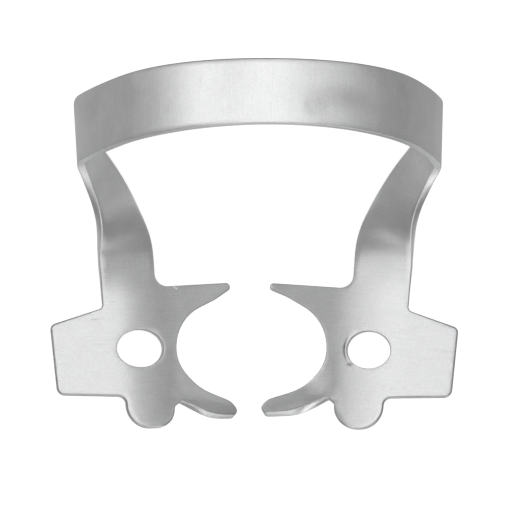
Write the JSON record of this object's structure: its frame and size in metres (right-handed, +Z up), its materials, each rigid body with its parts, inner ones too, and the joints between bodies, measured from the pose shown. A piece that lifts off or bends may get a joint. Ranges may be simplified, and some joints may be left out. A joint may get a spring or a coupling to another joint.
{
  "type": "rubber dam clamp",
  "caption": "Winged rubber dam clamp of satin spring steel: an arched bow whose legs turn forward into holed jaws, each with a wing, a rounded tab and prongs",
  "frame": {"origin": "middle of the clamp's outline, at the surface it rests on", "axes": "+X across from the left jaw to the right jaw, -Y forward along the jaws towards their tabs, +Z up towards the crown of the bow"},
  "size_m": [0.027, 0.025, 0.0179],
  "materials": {
    "satin_steel": "satin brushed stainless spring steel"
  },
  "bodies": {
    "root": {"clamp": "satin_steel"}
  },
  "joints": []
}
